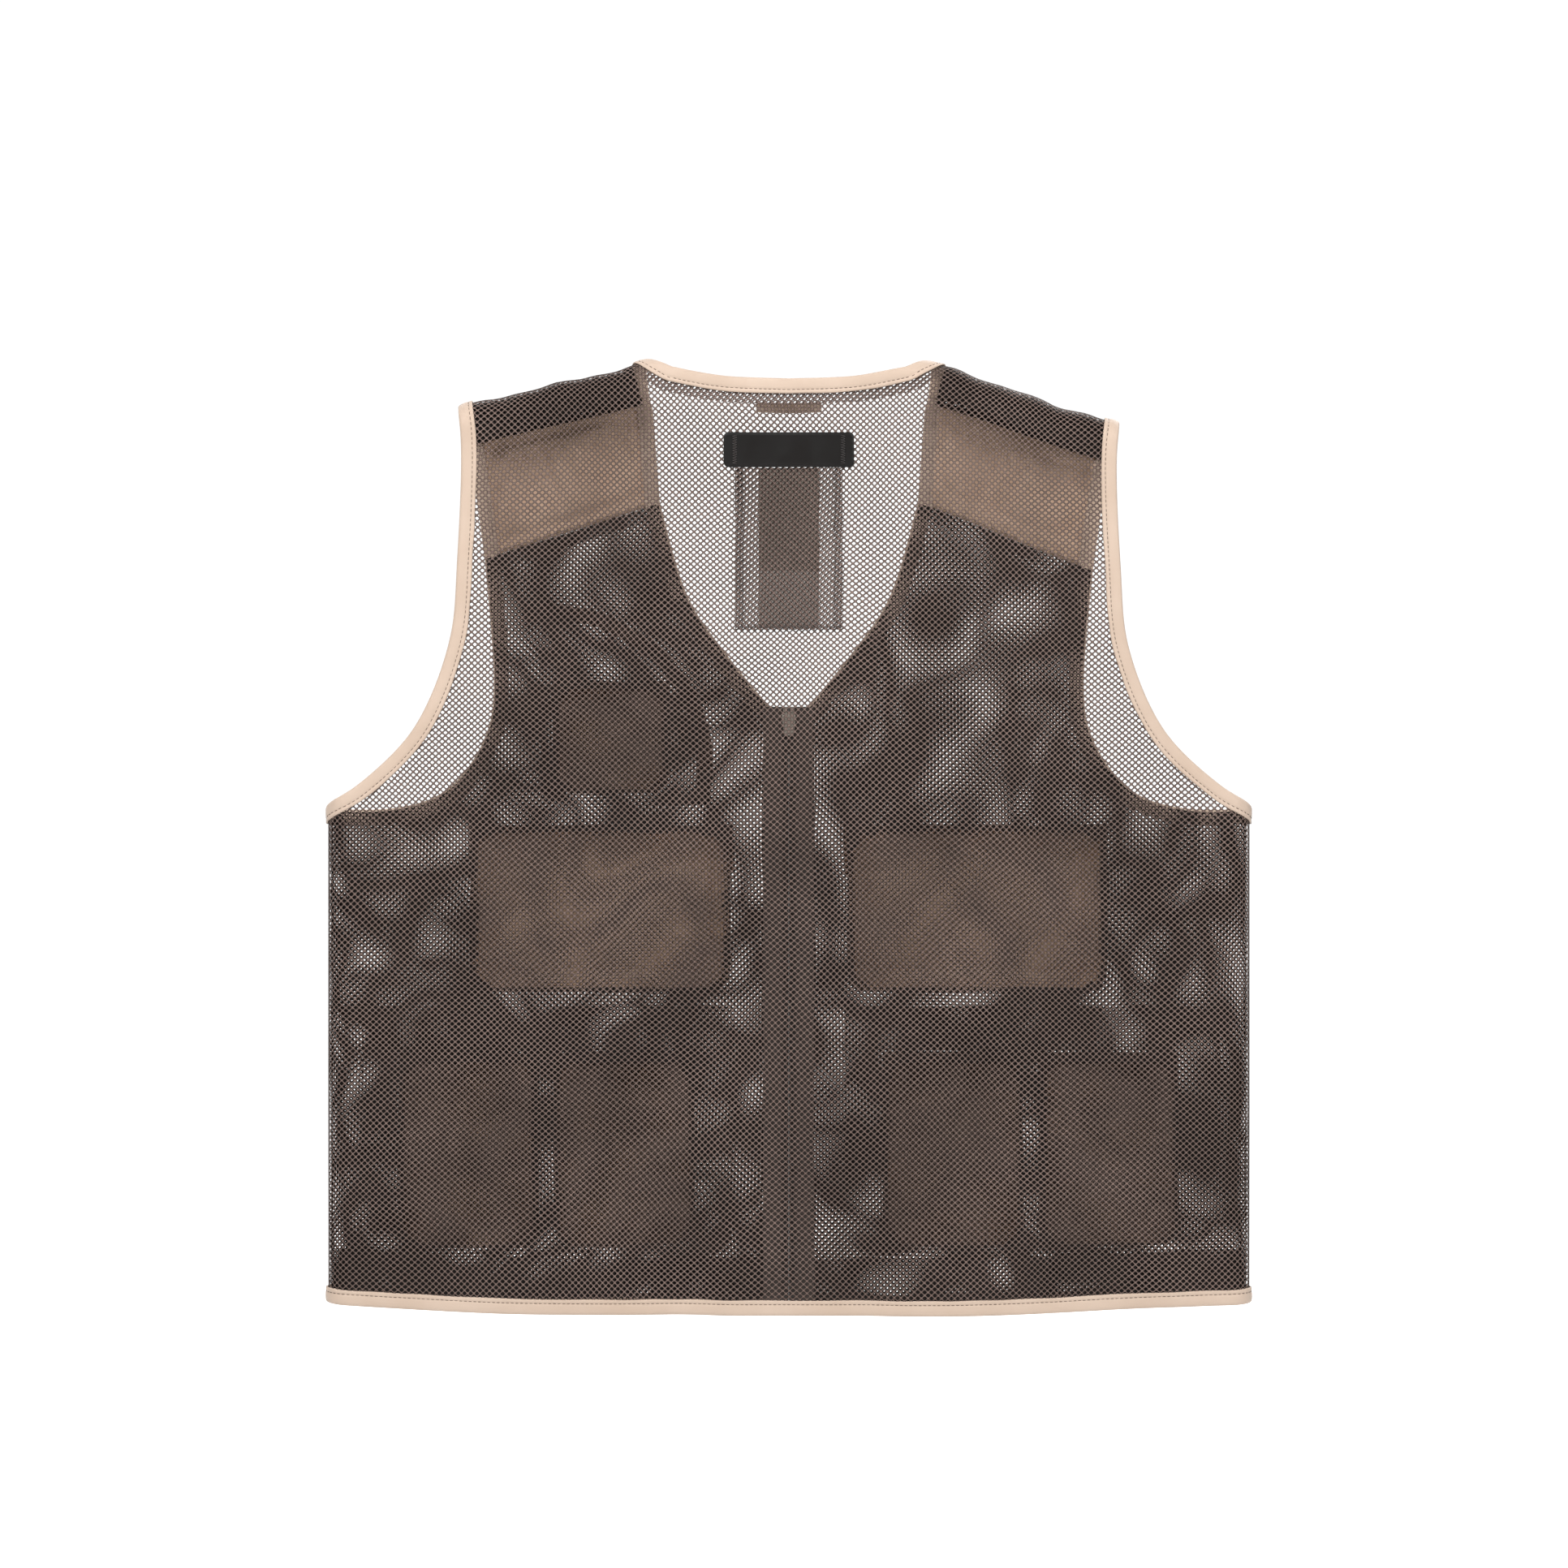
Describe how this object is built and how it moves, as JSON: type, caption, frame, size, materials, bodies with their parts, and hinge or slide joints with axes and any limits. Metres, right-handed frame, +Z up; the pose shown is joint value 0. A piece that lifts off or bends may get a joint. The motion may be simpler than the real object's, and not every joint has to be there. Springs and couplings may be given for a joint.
{
  "type": "fishing vest",
  "caption": "Sleeveless see-through mesh vest with tan bound edges, a front zip, a curved chest pocket, flap pockets and wide lower pockets with pouches.",
  "frame": {"origin": "middle of the neck at the height of the hang loop, where a hanger's hook rises", "axes": "+Z up along the vest, +X to the wearer's left, the front faces -Y"},
  "size_m": [0.6156, 0.0547, 0.6338],
  "materials": {
    "mesh_cloth": "knitted polyester mesh, dark warm grey, open diamond holes",
    "tan_cloth": "plain woven polyester, tan",
    "tan_binding": "folded woven binding tape, pale tan, one stitch line",
    "label_satin": "woven satin, near black",
    "care_satin": "thin printed-tape satin, grey-beige, left blank",
    "zip_tape": "woven zip tape, dark brown-grey",
    "hook_and_loop": "hook-and-loop tape, dark",
    "zip_plastic": "moulded acetal, dark",
    "zip_metal": "painted zinc, olive grey"
  },
  "bodies": {
    "back": {"back_panel": "mesh_cloth", "back_neck_binding": "tan_binding", "back_armhole_binding_left": "tan_binding", "back_armhole_binding_right": "tan_binding", "back_hem_binding": "tan_binding", "neck_label": "label_satin", "back_strip": "mesh_cloth", "care_label_long": "care_satin", "care_label_short": "care_satin", "hang_loop": "tan_binding"},
    "front_left": {"front_panel_left": "mesh_cloth", "yoke_left": "tan_cloth", "front_neck_binding_left": "tan_binding", "front_armhole_binding_left": "tan_binding", "front_hem_binding_left": "tan_binding", "zip_tape_left": "zip_tape", "zip_top_stop_left": "zip_metal", "zip_teeth_left": "zip_plastic", "zip_retainer_box": "zip_plastic", "mid_pocket_left": "tan_cloth", "mid_loop_patch_left": "hook_and_loop", "lower_pocket_left": "mesh_cloth", "lower_pocket_band_left": "mesh_cloth", "lower_pouch_inner_left": "tan_cloth", "lower_pouch_outer_left": "tan_cloth", "chest_pocket": "mesh_cloth", "chest_pocket_edging": "tan_binding", "chest_pouch": "tan_cloth"},
    "front_right": {"front_panel_right": "mesh_cloth", "yoke_right": "tan_cloth", "front_neck_binding_right": "tan_binding", "front_armhole_binding_right": "tan_binding", "front_hem_binding_right": "tan_binding", "zip_tape_right": "zip_tape", "zip_top_stop_right": "zip_metal", "zip_teeth_right": "zip_plastic", "zip_insert_pin": "zip_plastic", "mid_pocket_right": "tan_cloth", "mid_loop_patch_right": "hook_and_loop", "lower_pocket_right": "mesh_cloth", "lower_pocket_band_right": "mesh_cloth", "lower_pouch_inner_right": "tan_cloth", "lower_pouch_outer_right": "tan_cloth"},
    "slider": {"zip_slider": "zip_metal"},
    "pull": {"zip_pull": "zip_metal"},
    "flap_left": {"mid_flap_left": "tan_cloth", "mid_hook_patch_left": "hook_and_loop"},
    "flap_right": {"mid_flap_right": "tan_cloth", "mid_hook_patch_right": "hook_and_loop"}
  },
  "joints": [
    {"name": "left_front_open", "type": "hinge", "parent": "back", "child": "front_left", "pos_m": [0.308, 0, -0.4], "axis": [0, 0, 1], "range_deg": [0, 34]},
    {"name": "right_front_open", "type": "hinge", "parent": "back", "child": "front_right", "pos_m": [-0.308, 0, -0.4], "axis": [0, 0, 1], "range_deg": [-34, 0]},
    {"name": "zip_slide", "type": "slide", "parent": "front_left", "child": "slider", "axis": [0, 0, -1], "range_m": [0, 0.362]},
    {"name": "zip_pull_swing", "type": "hinge", "parent": "slider", "child": "pull", "pos_m": [0, -0.0171, -0.209], "axis": [-1, 0, 0], "range_deg": [0, 150]},
    {"name": "left_flap_lift", "type": "hinge", "parent": "front_left", "child": "flap_left", "pos_m": [0.126, -0.0159, -0.279], "axis": [-1, 0, 0], "range_deg": [0, 55]},
    {"name": "right_flap_lift", "type": "hinge", "parent": "front_right", "child": "flap_right", "pos_m": [-0.126, -0.0159, -0.279], "axis": [-1, 0, 0], "range_deg": [0, 55]}
  ],
  "couplings": [
    {"joint": "right_front_open", "follows": "left_front_open", "ratio": -1},
    {"joint": "zip_slide", "follows": "left_front_open", "m_per_rad": 0.61}
  ]
}
